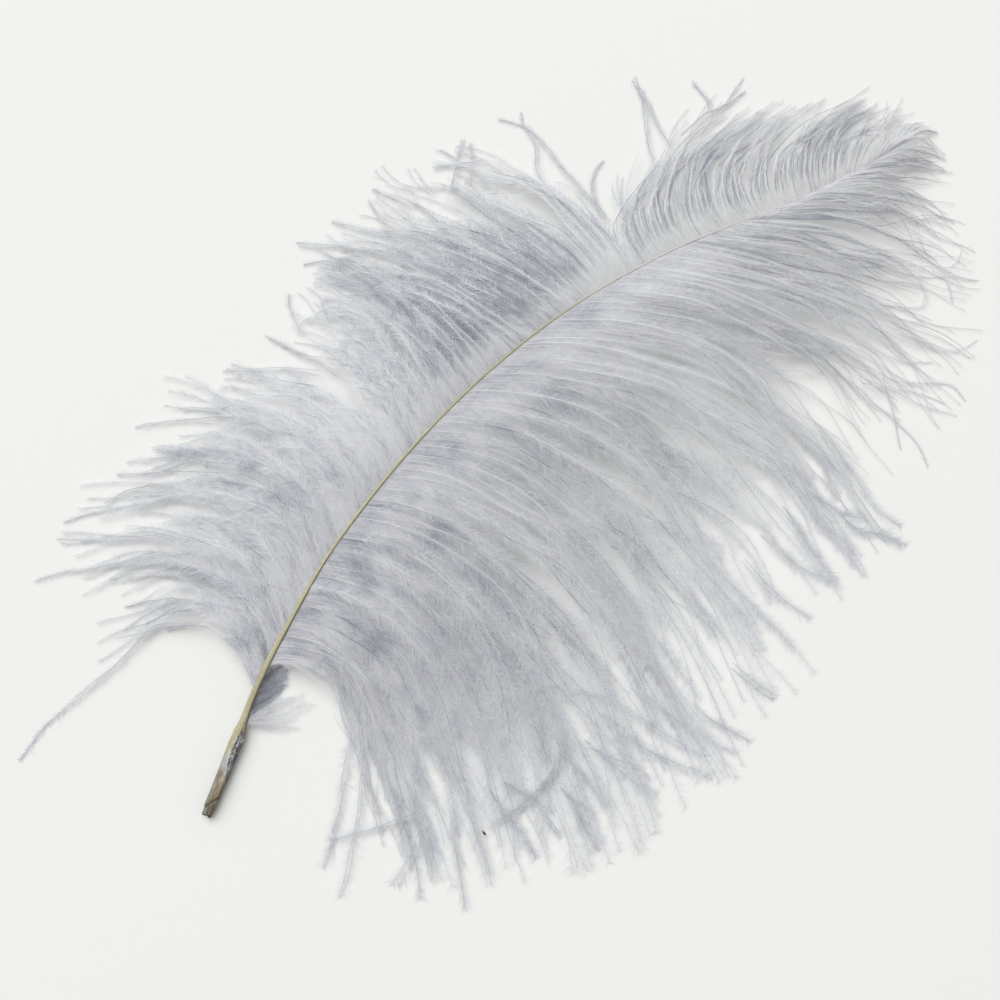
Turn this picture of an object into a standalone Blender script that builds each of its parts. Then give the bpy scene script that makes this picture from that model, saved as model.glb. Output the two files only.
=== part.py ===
"""A dyed ostrich plume lying on a flat surface, grown as one piece.

The quill (calamus) and the rachis are one tapered, arched shaft. Both vanes are one thin sheet of ridged
locks: near the shaft the locks are joined, further out each lock is free and tapers to a tip that lies on
the surface. Lengths in the tables are millimetres in the plume's plan: "along" runs from the quill's cut end
to the plume's tip, "across" is to the left of it. Objects are in metres, with +X along, +Y across and the
surface at z = 0.
"""

import math
import random

import bmesh
import bpy
from mathutils import Vector

MM = 0.001
LEFT = 1
RIGHT = -1

# The quill's cut end in the object's own frame, whose origin is the middle of the plume's footprint.
QUILL_END = (-151.9, -3.4)

# Shaft route: along, across, height of its centre line.
SHAFT_ROUTE = [
    (0.0, 0.2, 1.8),
    (13.6, 6.1, 2.1),
    (27.0, 12.2, 2.6),
    (41.0, 18.8, 3.7),
    (59.5, 25.5, 6.0),
    (97.0, 35.6, 10.5),
    (148.8, 41.2, 14.0),
    (198.6, 38.5, 14.5),
    (242.0, 28.1, 12.0),
    (285.0, 11.2, 8.0),
    (311.0, 3.2, 5.2),
    (327.0, 0.0, 3.4),
]
# Shaft radius: along, radius. The quill is widest below the rachis, and its cut end is pinched. Its width
# changes quickly up to QUILL_LENGTH, so the rings of the shaft stand at this table's rows up to there.
SHAFT_RADIUS = [
    (0.0, 1.35),
    (3.0, 1.90),
    (13.6, 2.05),
    (24.5, 2.20),
    (28.0, 1.90),
    (31.0, 1.40),
    (34.0, 1.25),
    (60.0, 1.05),
    (97.0, 0.85),
    (150.0, 0.70),
    (327.0, 0.45),
]
QUILL_LENGTH = 34.0
SHAFT_RINGS = 30
SHAFT_BEVEL_RESOLUTION = 3
WELD_DISTANCE = 0.01

# How the barbs run on each side: station of the root along the shaft, take-off angle from the plume's length
# in degrees, reach of the first straight pull in that direction, and where the tip lies: along, and out from
# the axis.
BARB_RUNS = {
    LEFT: [
        (42, 63, 60, -44, 56),
        (44, 63, 50, 0, 62),
        (48, 62, 42, 20, 68),
        (52, 59, 42, 31, 78),
        (58, 60, 42, 13, 97),
        (65, 54, 48, 29, 101),
        (73, 57, 52, 33, 103),
        (83, 60, 47, 48, 100),
        (91, 59, 53, 57, 104),
        (99, 59, 53, 73, 110),
        (108, 65, 43, 89, 104),
        (125, 69, 37, 104, 104),
        (128, 69, 37, 106, 104),
        (131, 68, 37, 124, 101),
        (134, 67, 37, 125, 101),
        (141, 66, 34, 143, 109),
        (158, 75, 42, 152, 110),
        (172, 72, 38, 155, 117),
        (185, 81, 36, 167, 114),
        (202, 81, 35, 187, 112),
        (210, 82, 34, 193, 117),
        (218, 76, 36, 208, 108),
        (225, 69, 41, 214, 105),
        (228, 72, 32, 226, 84),
        (232, 78, 16, 240, 56),
        (236, 80, 24, 266, 55),
        (240, 84, 28, 300, 54),
        (250, 72, 31, 300, 48),
        (258, 66, 30, 307, 38),
        (265, 66, 30, 310, 34),
        (275, 60, 28, 319, 29),
        (284, 53, 28, 328, 19),
        (294, 50, 26, 334, 13),
        (303, 41, 22, 335, 8),
        (311, 32, 19, 336, -1),
        (322, 14, 9, 337, -7),
    ],
    RIGHT: [
        (50, 30, 30, 17, 40),
        (55, 38, 34, 16, 52),
        (65, 43, 37, 28, 69),
        (74, 44, 43, 42, 74),
        (84, 47, 47, 65, 89),
        (97, 48, 54, 84, 104),
        (113, 47, 61, 105, 108),
        (135, 44, 60, 138, 113),
        (151, 42, 62, 167, 103),
        (164, 42, 70, 193, 90),
        (184, 39, 72, 220, 98),
        (199, 41, 74, 234, 93),
        (203, 42, 70, 238, 86),
        (208, 43, 64, 253, 62),
        (218, 44, 66, 261, 76),
        (233, 49, 64, 278, 77),
        (247, 54, 55, 295, 65),
        (262, 50, 41, 312, 51),
        (276, 35, 36, 317, 43),
        (287, 31, 29, 319, 32),
        (301, 28, 19, 329, 21),
        (313, 26, 14, 331, 16),
        (322, 20, 8, 333, 13),
    ],
}
# Roots of the locks' edges and ridges in turn: one slim stray lock on the left, then evenly spaced ones on
# both sides.
VANE_START = 44.0
VANE_END = 324.0
LOCKS_A_SIDE = 35
STRAY_LOCK = (40.0, 42.0)
FIRST_RIGHT_ROOT = 2

# How high the barbs swell above the line from shaft to surface, and how thick the sheet is.
LIFT = {LEFT: 5.0, RIGHT: 3.0}
SHEET_THICKNESS = 1.2
TIP_HEIGHT = 0.9
RIDGE_HEIGHT = 1.3
# Shares of a barb's run: where it comes down to the surface, the rows of the sheet up to where the locks
# part, and the rows beyond.
TOUCH_DOWN = 0.88
JOINED_ROWS = (0.0, 0.12, 0.27, 0.42, 0.56)
FREE_ROWS = (0.68, 0.79, 0.88, 0.95)
SHORTEST_LOCK = 0.9
WIDEST_HALF_LOCK = 8.0

# Stray barbs and tufts of down that start at the shaft: along, across, height, radius.
STRAYS = {
    "notch_wisp": [
        (227.0, 33.0, 12.8, 0.3),
        (232.0, 44.0, 13.2, 0.6),
        (236.0, 55.0, 9.0, 0.7),
        (239.0, 69.0, 4.0, 0.7),
        (238.5, 85.0, 1.4, 0.6),
        (233.0, 101.0, 0.6, 0.4),
    ],
    "upper_wisp": [
        (243.0, 28.4, 12.0, 0.3),
        (252.0, 44.0, 15.0, 0.6),
        (264.0, 54.0, 11.0, 0.7),
        (272.0, 63.0, 5.0, 0.7),
        (276.0, 78.0, 0.6, 0.4),
    ],
    "dark_down": [
        (33.5, 15.0, 2.9, 0.5),
        (38.5, 14.2, 3.4, 1.4),
        (44.5, 13.6, 3.0, 2.0),
        (51.0, 13.8, 1.8, 0.7),
    ],
    "pale_down": [
        (32.5, 14.4, 2.6, 0.5),
        (36.5, 9.0, 2.2, 1.2),
        (40.5, 4.0, 1.4, 1.2),
        (43.5, -1.0, 0.6, 0.4),
    ],
}
POINTS_A_SPAN = 3

FEATHER_COLOUR = (0.62, 0.63, 0.68, 1.0)


def clear_scene():
    for each in list(bpy.data.objects):
        bpy.data.objects.remove(each)


def linear_at(rows, x):
    """The values beside x in rows of (x, value, ...), straight between rows and level past the ends."""
    if x <= rows[0][0]:
        return rows[0][1:]
    for low, high in zip(rows, rows[1:]):
        if x <= high[0]:
            share = (x - low[0]) / (high[0] - low[0])
            return tuple(a + (b - a) * share for a, b in zip(low[1:], high[1:]))
    return rows[-1][1:]


def smooth_at(rows, x):
    """As linear_at, but on a smooth curve through the rows: cubics that share a slope at each row."""
    spans = len(rows) - 1
    k = next((i for i in range(spans) if x <= rows[i + 1][0]), spans - 1)
    a, b = rows[k], rows[k + 1]
    before, after = rows[max(k - 1, 0)], rows[min(k + 2, spans)]
    width = b[0] - a[0]
    t = (x - a[0]) / width
    found = []
    for i in range(1, len(a)):
        slope_a = (b[i] - before[i]) / (b[0] - before[0]) * width
        slope_b = (after[i] - a[i]) / (after[0] - a[0]) * width
        found.append(
            a[i] * (2 * t**3 - 3 * t**2 + 1)
            + slope_a * (t**3 - 2 * t**2 + t)
            + b[i] * (3 * t**2 - 2 * t**3)
            + slope_b * (t**3 - t**2)
        )
    return tuple(found)


def route_points(route, points_a_span):
    """A route's rows joined by one smooth curve: rows of the same columns, several to a span."""
    numbered = [(float(i),) + tuple(row) for i, row in enumerate(route)]
    count = (len(route) - 1) * points_a_span
    return [smooth_at(numbered, i / points_a_span) for i in range(count + 1)]


def to_frame(along, across, height):
    return Vector((along + QUILL_END[0], across + QUILL_END[1], height)) * MM


def barb_point(side, station, share):
    """A point at a share of the run of the barb rooted at a station: along, across, height of the top."""
    takeoff, pull, tip_along, tip_out = linear_at(BARB_RUNS[side], station)
    across, height = smooth_at(SHAFT_ROUTE, station)
    angle = math.radians(takeoff)
    bend = (station + pull * math.cos(angle), across + side * pull * math.sin(angle))
    tip = (tip_along, side * tip_out)
    stay, go = (1 - share) ** 2, share**2
    plan = [
        stay * root + 2 * share * (1 - share) * middle + go * end
        for root, middle, end in zip((station, across), bend, tip)
    ]
    down = min(1.0, share / TOUCH_DOWN)
    fall = (1 - down**2) ** 2
    swell = LIFT[side] * math.sin(math.pi * down) * (1 - down)
    return Vector((*plan, TIP_HEIGHT + (height - TIP_HEIGHT) * fall + swell))


def lock_row(side, roots, share, freedom):
    """Three points across a lock at a share of its run: near edge, raised ridge, far edge."""
    ridge = barb_point(side, roots[1], share)
    row = []
    for root in roots:
        offset = barb_point(side, root, share) - ridge
        if offset.length > WIDEST_HALF_LOCK:
            offset.length = WIDEST_HALF_LOCK
        row.append(ridge + offset * (1 - freedom**4))
    row[1].z += RIDGE_HEIGHT * (1 - freedom)
    return row


def build_side(mesh, side, axis, roots, dice):
    """One vane: locks joined near the shaft and free beyond, each with two edges and a raised ridge."""
    parting = JOINED_ROWS[-1]
    joined = [axis]
    for share in JOINED_ROWS[1:]:
        row = []
        for k, root in enumerate(roots):
            point = barb_point(side, root, share)
            if k % 2:
                point.z += RIDGE_HEIGHT * share / parting
            row.append(mesh.verts.new(point))
        joined.append(row)
    for near, far in zip(joined, joined[1:]):
        for k in range(len(roots) - 1):
            mesh.faces.new((near[k], near[k + 1], far[k + 1], far[k]))
    for k in range(1, len(roots), 2):
        reach = dice.uniform(SHORTEST_LOCK, 1.0)
        near = joined[-1][k - 1 : k + 2]
        for share in FREE_ROWS:
            freedom = (share - parting) / (1 - parting)
            at = parting + (reach - parting) * freedom
            far = [mesh.verts.new(point) for point in lock_row(side, roots[k - 1 : k + 2], at, freedom)]
            for a in (0, 1):
                mesh.faces.new((near[a], near[a + 1], far[a + 1], far[a]))
            near = far
        tip = mesh.verts.new(barb_point(side, roots[k], reach))
        for a in (0, 1):
            mesh.faces.new((near[a], near[a + 1], tip))


def make_vanes():
    """Both vanes as one sheet across the shaft, thickened downwards and flat where it meets the surface."""
    dice = random.Random(11)
    mesh = bmesh.new()
    step = (VANE_END - VANE_START) / (2 * LOCKS_A_SIDE)
    roots = list(STRAY_LOCK) + [VANE_START + step * k for k in range(2 * LOCKS_A_SIDE + 1)]
    axis = [mesh.verts.new((root, *smooth_at(SHAFT_ROUTE, root))) for root in roots]
    first = len(STRAY_LOCK) + FIRST_RIGHT_ROOT
    build_side(mesh, LEFT, axis, roots, dice)
    build_side(mesh, RIGHT, axis[first:], roots[first:], dice)
    bmesh.ops.recalc_face_normals(mesh, faces=mesh.faces)
    top = list(mesh.verts)
    made = bmesh.ops.extrude_face_region(mesh, geom=list(mesh.faces), use_keep_orig=True)
    lower = [each for each in made["geom"] if isinstance(each, bmesh.types.BMVert)]
    for vertex in lower:
        vertex.co.z = max(0.0, vertex.co.z - SHEET_THICKNESS)
    bmesh.ops.recalc_face_normals(mesh, faces=mesh.faces)
    for vertex in top + lower:
        vertex.co = to_frame(*vertex.co)
    data = bpy.data.meshes.new("vanes")
    mesh.to_mesh(data)
    mesh.free()
    return bpy.data.objects.new("vanes", data)


def make_tube(name, rows):
    """A tapered tube along rows of along, across, height, radius: caps welded, flat on the surface."""
    data = bpy.data.curves.new(name, "CURVE")
    data.dimensions = "3D"
    data.bevel_depth = MM
    data.bevel_resolution = SHAFT_BEVEL_RESOLUTION
    data.use_fill_caps = True
    spline = data.splines.new("POLY")
    spline.points.add(len(rows) - 1)
    for point, (along, across, height, radius) in zip(spline.points, rows):
        point.co = (*to_frame(along, across, height), 1.0)
        point.radius = radius
    curve = bpy.data.objects.new(name + "_line", data)
    bpy.context.scene.collection.objects.link(curve)
    seen = curve.evaluated_get(bpy.context.evaluated_depsgraph_get())
    tube = bpy.data.objects.new(name, bpy.data.meshes.new_from_object(seen))
    tube.matrix_world = curve.matrix_world
    bpy.data.objects.remove(curve)
    mesh = bmesh.new()
    mesh.from_mesh(tube.data)
    bmesh.ops.remove_doubles(mesh, verts=mesh.verts, dist=WELD_DISTANCE * MM)
    for vertex in mesh.verts:
        vertex.co.z = max(0.0, vertex.co.z)
    mesh.to_mesh(tube.data)
    mesh.free()
    return tube


def make_shaft():
    """The quill and rachis."""
    end = SHAFT_ROUTE[-1][0]
    stations = [row[0] for row in SHAFT_RADIUS if row[0] <= QUILL_LENGTH]
    later = SHAFT_RINGS - len(stations)
    stations += [QUILL_LENGTH + (end - QUILL_LENGTH) * (i + 1) / later for i in range(later)]
    rows = []
    for station in stations:
        across, height = smooth_at(SHAFT_ROUTE, station)
        (radius,) = linear_at(SHAFT_RADIUS, station)
        rows.append((station, across, height, radius))
    return make_tube("shaft", rows)


def feather_material():
    material = bpy.data.materials.new("feather")
    material.use_nodes = True
    shader = material.node_tree.nodes["Principled BSDF"]
    shader.inputs["Base Color"].default_value = FEATHER_COLOUR
    shader.inputs["Roughness"].default_value = 0.7
    shader.inputs["Metallic"].default_value = 0.0
    material.diffuse_color = FEATHER_COLOUR
    return material


def join_solids(whole, others, hidden):
    for other in others:
        hidden.objects.link(other)
        other.hide_render = True
        other.display_type = "WIRE"
        union = whole.modifiers.new("join_" + other.name, "BOOLEAN")
        union.operation = "UNION"
        union.object = other


def main():
    clear_scene()
    shown = bpy.data.collections.new("ostrich_plume")
    hidden = bpy.data.collections.new("joined_shapes")
    for collection in (shown, hidden):
        bpy.context.scene.collection.children.link(collection)
    feather = make_shaft()
    feather.name = "feather"
    shown.objects.link(feather)
    feather.data.materials.clear()
    feather.data.materials.append(feather_material())
    strays = [make_tube(name, route_points(route, POINTS_A_SPAN)) for name, route in STRAYS.items()]
    join_solids(feather, [make_vanes()] + strays, hidden)


main()
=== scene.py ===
"""The looks of a dyed ostrich plume lying on a pale surface, seen from straight above.

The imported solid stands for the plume's form. Here it is replaced by the quill and shaft in detail and by
the separate barbs of both vanes: each barb is a thin tapered ramus with two rows of long soft barbules.
Lengths are millimetres in the plume's plan: "along" runs from the quill's cut end to the plume's tip,
"across" is to the left of it.
"""

import math

import bmesh
import bpy
import numpy as np
from mathutils import Matrix, Vector


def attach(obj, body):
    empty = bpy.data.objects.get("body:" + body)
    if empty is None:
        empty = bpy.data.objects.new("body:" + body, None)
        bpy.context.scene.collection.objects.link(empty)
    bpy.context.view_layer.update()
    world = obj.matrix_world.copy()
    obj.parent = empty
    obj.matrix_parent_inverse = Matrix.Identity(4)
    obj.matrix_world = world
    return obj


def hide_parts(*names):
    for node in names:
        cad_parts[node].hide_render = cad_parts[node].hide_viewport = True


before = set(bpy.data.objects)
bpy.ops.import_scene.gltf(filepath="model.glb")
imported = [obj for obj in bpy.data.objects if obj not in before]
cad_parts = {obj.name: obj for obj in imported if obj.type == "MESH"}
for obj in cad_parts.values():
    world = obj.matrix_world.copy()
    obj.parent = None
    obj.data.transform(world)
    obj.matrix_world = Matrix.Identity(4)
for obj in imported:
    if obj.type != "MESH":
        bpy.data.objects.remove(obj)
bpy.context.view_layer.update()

MM = 0.001
LEFT = 1
RIGHT = -1
NODE = "feather"
BODY = "root"

# The quill's cut end in the frame, and the shaft's route: along, across and height of its centre line.
QUILL_END = (-151.9, -3.4)
SHAFT_ROUTE = [
    (0, 0.2, 1.8), (13.6, 6.1, 2.1), (27, 12.2, 2.6), (41, 18.8, 3.7), (59.5, 25.5, 6),
    (97, 35.6, 10.5), (148.8, 41.2, 14), (198.6, 38.5, 14.5), (242, 28.1, 12), (285, 11.2, 8),
    (311, 3.2, 5.2), (327, 0, 3.4),
]
# The shaft's radius: along, radius.
SHAFT_RADIUS = [
    (0, 1.55), (1.2, 1.78), (3, 2.1), (13.6, 2.24), (24.5, 2.4), (28, 2.06), (31, 1.42),
    (34, 1.22), (41, 1.13), (59.5, 1.02), (68, 0.86), (78, 0.72), (90, 0.62), (136, 0.55),
    (160, 0.47), (200, 0.4), (257, 0.29), (327, 0.14),
]
# Its rings of points stand closer on the quill, which lies a little to the right of the route up to the
# stretch given.
QUILL_LENGTH = 34
QUILL_STEP = 0.2
QUILL_SHIFT = 0.2
QUILL_SHIFT_END = (24, 32)
RACHIS_STEP = 1.2
SHAFT_SIDES = 40
# The cut end: rings that turn in, as along and share of the radius, then how far and how much it is
# pinched flat, and how ragged it is.
CUT_RINGS = [(1.6, 0.35), (0.5, 0.62), (0.05, 0.84)]
PINCH_LENGTH = 4
PINCH = 0.4
RAGGED = 0.5
# The quill's opening with its dried pith, darkened inside by painted shade: along, middle and half width,
# where -1 is the shaft's left edge and 1 its right edge.
OPENING = [
    (12.5, 0.85, 0.05), (15, 0.66, 0.3), (18, 0.48, 0.52), (22, 0.42, 0.62), (26, 0.5, 0.5),
    (28.5, 0.42, 0.16), (31, 0.5, 0.05),
]
OPENING_DEPTH = 0.8
RIM_HEIGHT = 0.12
GRAIN_HEIGHT = 0.02
# A crease runs aslant over the quill: along at its left and right edges, then its width and depth.
CREASE = (2.1, 7.6)
CREASE_WIDTH = 0.6
CREASE_DEPTH = 0.22

# Colours of the shaft, from the rachis down to the cut end.
CREAM = (0.6, 0.58, 0.42)
PALE_STREAK = (0.74, 0.72, 0.58)
OLIVE = (0.4, 0.37, 0.22)
BROWN = (0.13, 0.09, 0.06)
TAN = (0.3, 0.27, 0.18)
OCHRE = (0.44, 0.29, 0.1)
GREY = (0.42, 0.42, 0.42)
PALE_GREY = (0.62, 0.62, 0.61)
PITH = (0.8, 0.8, 0.84)
# Painted shade on the quill's edges and inside its opening.
EDGE_AND_OPENING_SHADE = (0.17, 0.17, 0.18)
# Painted shade of the quill's hollow, where it shows through the opening.
HOLLOW_SHADE = (0.03, 0.03, 0.035)
# The cut end's dark stain, also used as painted shade in the crease.
CUT_END_STAIN_AND_CREASE_SHADE = (0.05, 0.06, 0.05)

# Colours of the fibres: dark, light.
BARBULE_COLOURS = ((0.34, 0.35, 0.45), (0.93, 0.935, 0.955))
RAMUS_COLOURS = ((0.2, 0.2, 0.25), (0.96, 0.96, 0.97))
DYE_DRIFT = 0.3

# How the barbs run on each side, nearly as the locks of the solid: root along the shaft, take-off angle
# from the plume's length in degrees, reach of the first pull that way, and the tip: along, and how far out.
BARB_RUNS = {
    LEFT: [
        (41, 63, 55, -2, 60), (44, 63, 50, 4, 62), (48, 62, 42, 20, 68), (52, 59, 42, 31, 78),
        (58, 60, 42, 13, 97), (65, 54, 48, 29, 101), (73, 57, 52, 33, 103), (83, 60, 47, 48, 100),
        (91, 59, 53, 57, 104), (99, 59, 53, 73, 110), (108, 65, 43, 89, 104), (125, 69, 37, 104, 104),
        (128, 69, 37, 106, 104), (131, 68, 37, 124, 101), (134, 67, 37, 125, 101),
        (141, 66, 34, 143, 109), (158, 75, 42, 152, 110), (172, 80, 38, 153, 115),
        (185, 94, 36, 153, 112), (199, 98, 34, 170, 114), (209, 93, 34, 188, 115),
        (218, 83, 36, 204, 109), (225, 74, 40, 213, 105), (228, 76, 32, 226, 84), (232, 80, 16, 240, 56),
        (236, 84, 24, 266, 55), (240, 90, 28, 298, 54), (250, 87, 30, 300, 48), (258, 85, 29, 307, 38),
        (265, 83, 28, 310, 34), (275, 79, 25, 319, 29), (284, 71, 24, 328, 19), (294, 64, 22, 334, 13),
        (303, 46, 18, 334, 11), (311, 20, 15, 337, 3), (322, -4, 8, 338, -5),
    ],
    RIGHT: [
        (50, 30, 32, 38, 52), (55, 36, 36, 39, 62), (65, 42, 38, 41, 71), (74, 44, 43, 48, 78),
        (84, 47, 47, 65, 89), (97, 48, 54, 84, 104), (113, 47, 61, 105, 108), (135, 44, 60, 138, 113),
        (151, 42, 62, 167, 103), (164, 42, 70, 193, 90), (184, 39, 72, 220, 98), (199, 41, 74, 234, 93),
        (203, 42, 70, 238, 86), (208, 43, 64, 253, 62), (218, 44, 66, 261, 76), (233, 49, 64, 278, 77),
        (247, 54, 55, 295, 65), (262, 50, 41, 312, 51), (276, 35, 36, 317, 43), (287, 31, 29, 319, 32),
        (301, 28, 19, 329, 21), (313, 26, 14, 331, 16), (322, 20, 8, 333, 13),
    ],
}
# A barb swells up and comes down to its tip's height where it touches down, at this share of its run.
LIFT = {LEFT: 5, RIGHT: 3}
TIP_HEIGHT = 0.9
TOUCH_DOWN = 0.88

# The spacing of the barbs' roots by place along the shaft, and how they gather. Some barbs lead: they are
# thicker, on top, and lighter by a painted highlight. Further out barbs cling in strands, and strands lean
# together in locks.
ROOT_SPACING = {
    LEFT: [
        (41, 0.56), (110, 0.6), (135, 0.72), (175, 0.68), (190, 0.6), (220, 0.62), (240, 0.68),
        (325, 0.66),
    ],
    RIGHT: [(50, 0.4), (85, 0.44), (120, 0.56), (135, 0.68), (170, 0.68), (220, 0.78), (325, 0.84)],
}
SPACING_SPREAD = (0.7, 1.3)
FIRST_ROOT = {LEFT: 41, RIGHT: 50}
LAST_ROOT = 325
LEAD_SPACING = {LEFT: (2.2, 3.6), RIGHT: (2.6, 5)}
LEAD_CLOSENESS = [(215, 1), (250, 0.6)]
STRAND_WIDTHS = {LEFT: (1.8, 4), RIGHT: (1.8, 4.4)}
LOCK_WIDTHS = {LEFT: (5, 10), RIGHT: (6, 12)}
SAMPLES_A_BARB = 48
# The share of its run that the shortest and the longest barb reach. Most reach far.
REACH = {LEFT: (0.6, 0.95), RIGHT: (0.7, 1.01)}
REACH_POWER = 1.4
# How far barbs and strands drift from their places along the shaft. A barb's own drift starts later where
# it is combed, and grows over the span given.
BARB_DRIFT = {LEFT: 2.2, RIGHT: 3.6}
STRAND_DRIFT = {LEFT: 3, RIGHT: 3.6}
MOST_STRAND_DRIFT = 3.6
COMBED_START = 0.35
DRIFT_START = 0.1
DRIFT_SPAN = 0.5
# Loose barbs drift further, hardly cling, and are thinner and darker.
LOOSE_SHARE = 0.13
LOOSE_DRIFT = 8
LOOSE_STRAND_CLING = 0.15
LOOSE_LOCK_CLING = 0.2
LOOSE_BARBULES = 0.6
LOOSE_DARKENING = 0.2
# Sway to the side in millimetres, in full for barbs of this length and less for shorter ones: slow bends
# of strands, locks and single barbs, waves with so many turns, kinks in some strands, and curled tips.
FULL_LENGTH = 90
SWAY_SCALES = (0.4, 1.2)
STRAND_SWAY = 2.6
LOCK_SWAY = 1.6
BARB_SWAY = 2.6
STRAND_WAVE = 1.6
STRAND_TURNS = (0.8, 1.8)
BARB_WAVE = 0.8
BARB_TURNS = 2.7
KINKED_SHARE = 0.3
KINK_PLACES = (0.5, 0.88)
KINK_SLOPE = 0.28
TIP_CURL = 3.4
CURL_START = 0.72
# The share of sway that is left, by root: the short barbs at the tip are nearly straight.
TIP_CALM = [(285, 1), (312, 0.4)]
# Heights by which strands and barbs lie above or below each other and leads above the rest, then the
# least height of a barb and its spread.
STRAND_LAYER = 0.7
BARB_LAYER = 0.35
LEAD_LAYER = 0.9
LEAST_HEIGHTS = (0.25, 0.3)
# Between the leads lie furrows, deep ones in the left vane's middle, darkened by painted shade: where they
# rise and fade by the barb's root and by share of its run, how much the painted shade darkens them, with a
# factor by root, and their depth.
FURROW_ROOTS = {LEFT: (130, 172, 300, 322), RIGHT: (60, 120, 300, 322)}
FURROW_SHARES = {LEFT: (0.06, 0.2, 0.55, 0.9), RIGHT: (0.06, 0.25, 0.65, 0.95)}
FURROW_PAINTED_SHADE = {LEFT: 1.2, RIGHT: 0.6}
FURROW_GROWTH = {LEFT: [(41, 1), (325, 1)], RIGHT: [(190, 1), (240, 1.4), (325, 1.4)]}
FURROW_DEPTH = {LEFT: 1.6, RIGHT: 0.7}
# The barbs' tone by root, 0 dark to 1 light, and the lightest. It varies by strand and barb, and along
# them in patches and specks with about so many turns.
BASE_TONE = {
    LEFT: [
        (41, 0.64), (60, 0.64), (73, 0.8), (88, 0.68), (110, 0.82), (150, 0.88), (174, 0.76), (199, 0.8),
        (213, 0.68), (228, 1), (240, 0.8), (256, 0.94), (283, 0.66), (300, 0.72), (325, 0.84),
    ],
    RIGHT: [
        (50, 0.7), (80, 0.88), (97, 0.86), (112, 0.98), (150, 0.98), (165, 0.84), (185, 1), (205, 0.98),
        (237, 1), (256, 0.82), (268, 0.74), (284, 1), (325, 0.92),
    ],
}
LIGHTEST = 0.95
STRAND_TONES = 0.08
BARB_TONES = 0.11
PATCHES = 0.2
PATCH_TURNS = 9
SPECKS = 0.22
SPECK_TURNS = 16
# Painted highlight: how much lighter than the rest the barbules and the rami of the leads are.
LEAD_HIGHLIGHT = {LEFT: 0.3, RIGHT: 0.22}
RAMUS_HIGHLIGHT = 0.35
# Some rami show as dark lines of painted shadow. Near the tips painted shade brings all rami near one tone.
LINED_SHARE = 0.55
SHADOW_LINE_DARKENING = 0.55
RAMUS_END_SHADE_TONE = 0.5
# Near the shaft, in full up to the first distance and gone at the second, the barbules are darker by the
# shade and the rami lighter by the line.
NEAR_SHAFT = (3, 16)
NEAR_SHADE = {LEFT: 0, RIGHT: 0.34}
NEAR_LINE = 0.3
# How much the barbules shorten in the leads along a furrow, and towards the tips by root.
LEAD_THINNING = 0.6
END_THINNING = {
    LEFT: [(41, 0.6), (75, 0.5), (95, 0.35), (325, 0.35)],
    RIGHT: [(50, 0.3), (70, 0.1), (115, 0.2), (183, 0.35), (195, 0.82), (240, 0.82), (325, 0.75)],
}
# Where neighbouring barbs part, by root, with the width and the shift of the parting.
PARTINGS = {LEFT: [(73, 4, 3), (128.5, 5, 3.2), (230, 5, 5)], RIGHT: [(199, 7, 8)]}
# The least share by which a barb clings to its strand, by root, and the most by which it clings to its
# strand and to its lock.
CLING = {LEFT: [(41, 0.2), (325, 0.2)], RIGHT: [(183, 0.2), (200, 0.5), (325, 0.5)]}
MOST_CLING = 0.85
MOST_LOCK_CLING = 0.45
# Smudges of painted shade, where barbules fold and clump, and broader shifts of tone: along, across,
# radius, change of tone.
SHADE_AND_TONE_SMUDGES = [
    (95, 26, 4, -0.45), (93, 19, 3.5, -0.4), (124, 29, 3, -0.4), (122, 16, 3, -0.4),
    (145, 32, 3, -0.35), (206, 30, 3.5, -0.3), (82, 3, 4, -0.3), (290, -23, 3, -0.6),
    (280, -18, 2.5, -0.4), (92, -12, 22, -0.08), (100, -65, 4, -0.3),
]

# A barb: its ramus's radius at shares of its length, and its barbules' spacing, width and length by root.
# The ends of a ramus are bare, and the barbules grow over the first stretch and shrink over the last.
RADIUS_SHARES = (0, 0.15, 1)
RAMUS_RADIUS = (0.12, 0.085, 0.055)
LEAD_RADIUS = {LEFT: (0.15, 0.13, 0.055), RIGHT: (0.15, 0.12, 0.055)}
RAMUS_STEP = 4
BARBULE_SPACING = 0.4
BARBULE_WIDTH = 0.175
BARBULE_LENGTH = {
    LEFT: [(41, 5.6), (120, 5.6), (215, 5), (240, 2.8), (300, 1.9), (325, 1.4)],
    RIGHT: [
        (50, 2.6), (60, 4.5), (75, 7.4), (150, 7.2), (190, 5.8), (205, 4.6), (240, 3), (262, 2.6),
        (280, 1.7), (325, 1.3),
    ],
}
LENGTH_SPREAD = (0.8, 1.15)
BARE_END = 0.4
GROWING_STRETCH = 12
SHRINKING_STRETCH = 5
LEAST_BARBULE_HEIGHT = 0.06
# Degrees by which barbules lean and rise, and their spreads: by slow drift, by tufts, and singly.
BARBULE_LEAN = 38
LEAN_GROWTH = 5
LEAN_SPREADS = (9, 12, 6)
BARBULE_RISE = -6
RISE_SPREADS = (12, 14, 10)
SLOW_DRIFT = 6
LEAN_TUFT = 1.5
RISE_TUFT = 1.7
TUFT_TONES = 0.14
BARBULE_TONES = 0.13

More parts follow.
